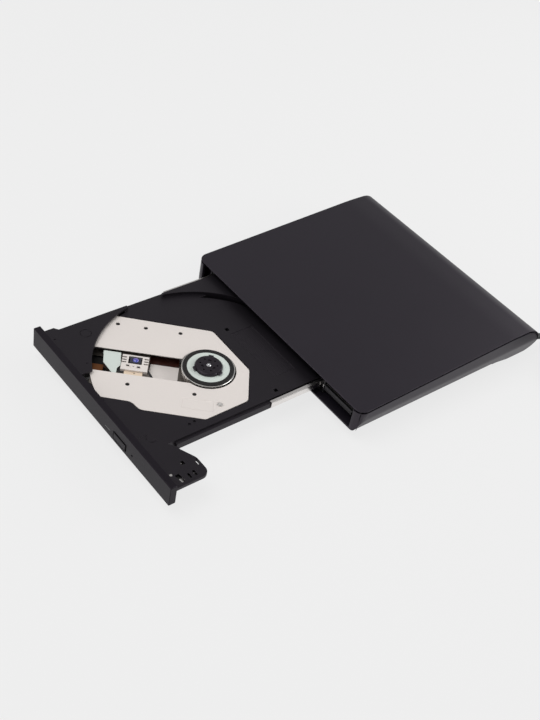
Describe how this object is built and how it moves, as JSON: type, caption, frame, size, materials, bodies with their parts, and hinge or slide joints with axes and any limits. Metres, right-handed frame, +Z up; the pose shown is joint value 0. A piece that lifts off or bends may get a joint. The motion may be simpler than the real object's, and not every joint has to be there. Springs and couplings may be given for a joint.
{
  "type": "external optical disc drive",
  "caption": "Slim external disc drive: wedge-shaped black enclosure, sliding tray with turntable, pickup on rods, eject button, and a cord with a plug.",
  "frame": {"origin": "middle of the enclosure on the plane its feet stand on", "axes": "+X to the right seen from the front, +Y from the front to the back, +Z up"},
  "size_m": [0.2107, 0.2895, 0.0242],
  "materials": {
    "cover_black": "fine satin, black",
    "shell_black": "satin, black",
    "bezel_black": "fine grain, black",
    "tray_black": "fine grain, black",
    "hub_plastic": "moulded, black",
    "guide_plastic": "natural nylon",
    "pale_plastic": "pale grey green",
    "tan_plastic": "tan",
    "lens_plastic": "dark liquid crystal polymer",
    "socket_plastic": "moulded, black",
    "clear_plastic": "clear",
    "chip_black": "moulded epoxy",
    "circuit_board": "green solder mask",
    "flex_film": "brown film",
    "rubber": "soft, black",
    "cord_rubber": "satin, black",
    "lens_glass": "coated lens",
    "case_steel": "dark sheet steel",
    "shield_steel": "galvanised sheet",
    "rail_steel": "bright sheet steel",
    "rod_steel": "polished",
    "screw_steel": "zinc plated",
    "plug_metal": "nickel plated",
    "deck_silver": "satin silver",
    "cast_metal": "die-cast zinc",
    "coil_copper": "enamelled windings",
    "magnet_grey": "sintered magnet"
  },
  "bodies": {
    "enclosure": {"top_cover": "cover_black", "bottom_cover": "shell_black", "feet": "rubber", "enclosure_screws": "screw_steel", "bridge_board": "circuit_board", "bridge_plug": "socket_plastic", "strain_relief": "cord_rubber", "usb_cord": "cord_rubber", "cord_coil": "cord_rubber", "cord_tail": "cord_rubber", "usb_plug_grip": "cord_rubber", "usb_plug_shell": "plug_metal", "usb_plug_tongue": "socket_plastic", "drive_case_bottom": "case_steel", "drive_case_top": "case_steel", "case_screws": "screw_steel", "drive_socket": "socket_plastic", "latch_pin": "rail_steel", "left_guide": "guide_plastic", "right_guide": "guide_plastic"},
    "slide_rails": {"left_rail": "rail_steel", "right_rail": "rail_steel", "flex_cable": "flex_film"},
    "tray": {"tray_frame": "tray_black", "bezel": "bezel_black", "light_pipe": "clear_plastic", "front_board": "circuit_board", "eject_switch": "socket_plastic", "bottom_shield": "shield_steel", "tray_screws": "screw_steel", "main_board": "circuit_board", "board_chips": "chip_black", "latch_solenoid": "coil_copper", "latch_pivot": "rail_steel", "traverse_deck": "deck_silver", "traverse_base": "cast_metal", "damper_bushes": "rubber", "guide_rods": "rod_steel", "sled_motor": "rail_steel", "spindle_motor": "coil_copper", "pickup_flex": "flex_film"},
    "eject_button": {"eject_button": "bezel_black"},
    "latch_lever": {"latch_lever": "rail_steel"},
    "lead_screw": {"lead_screw": "rod_steel"},
    "pickup": {"pickup_body": "cast_metal", "screw_follower": "guide_plastic", "pickup_cover": "pale_plastic", "actuator_frame": "plug_metal", "pickup_board": "tan_plastic"},
    "lens": {"lens_holder": "lens_plastic", "objective_lens": "lens_glass"},
    "turntable": {"rotor_can": "rail_steel", "rotor_magnet": "magnet_grey", "turntable_ring": "pale_plastic", "rubber_ring": "rubber", "chuck_hub": "hub_plastic", "spindle_shaft": "rod_steel"},
    "chuck_pawl_1": {"chuck_pawl_1": "hub_plastic"},
    "chuck_pawl_2": {"chuck_pawl_2": "hub_plastic"},
    "chuck_pawl_3": {"chuck_pawl_3": "hub_plastic"}
  },
  "joints": [
    {"name": "rail_slide", "type": "slide", "parent": "enclosure", "child": "slide_rails", "axis": [0, 1, 0], "range_m": [-0.00825, 0.0555]},
    {"name": "tray_slide", "type": "slide", "parent": "slide_rails", "child": "tray", "axis": [0, 1, 0], "range_m": [-0.00825, 0.0555]},
    {"name": "turntable_spin", "type": "hinge", "parent": "tray", "child": "turntable", "pos_m": [0.002, -0.1157, 0.0145], "axis": [0, 0, 1], "continuous": true},
    {"name": "pickup_slide", "type": "slide", "parent": "tray", "child": "pickup", "axis": [0.6461, 0.7632, 0], "range_m": [-0.02, 0.015]},
    {"name": "lens_focus", "type": "slide", "parent": "pickup", "child": "lens", "axis": [0, 0, 1], "range_m": [-0.0004, 0.0004], "stiffness_N_per_m": 30},
    {"name": "lead_screw_turn", "type": "hinge", "parent": "tray", "child": "lead_screw", "pos_m": [-0.03626, -0.12917, 0.0107], "axis": [0.6461, 0.7632, 0], "range_deg": [-2450, 1850]},
    {"name": "eject_press", "type": "slide", "parent": "tray", "child": "eject_button", "axis": [0, 1, 0], "range_m": [0, 0.0007], "stiffness_N_per_m": 800},
    {"name": "latch_turn", "type": "hinge", "parent": "tray", "child": "latch_lever", "pos_m": [0.0547, -0.1754, 0.013], "axis": [0, 0, 1], "range_deg": [0, 12], "stiffness_Nm_per_rad": 0.01},
    {"name": "pawl_1_press", "type": "slide", "parent": "turntable", "child": "chuck_pawl_1", "axis": [-0.967, -0.2546, 0], "range_m": [0, 0.001], "stiffness_N_per_m": 400},
    {"name": "pawl_2_press", "type": "slide", "parent": "turntable", "child": "chuck_pawl_2", "axis": [0.704, -0.7102, 0], "range_m": [0, 0.001], "stiffness_N_per_m": 400},
    {"name": "pawl_3_press", "type": "slide", "parent": "turntable", "child": "chuck_pawl_3", "axis": [0.263, 0.9648, 0], "range_m": [0, 0.001], "stiffness_N_per_m": 400}
  ],
  "couplings": [
    {"joint": "rail_slide", "follows": "tray_slide", "ratio": 1},
    {"joint": "lead_screw_turn", "follows": "pickup_slide", "rad_per_m": 2094.4}
  ]
}
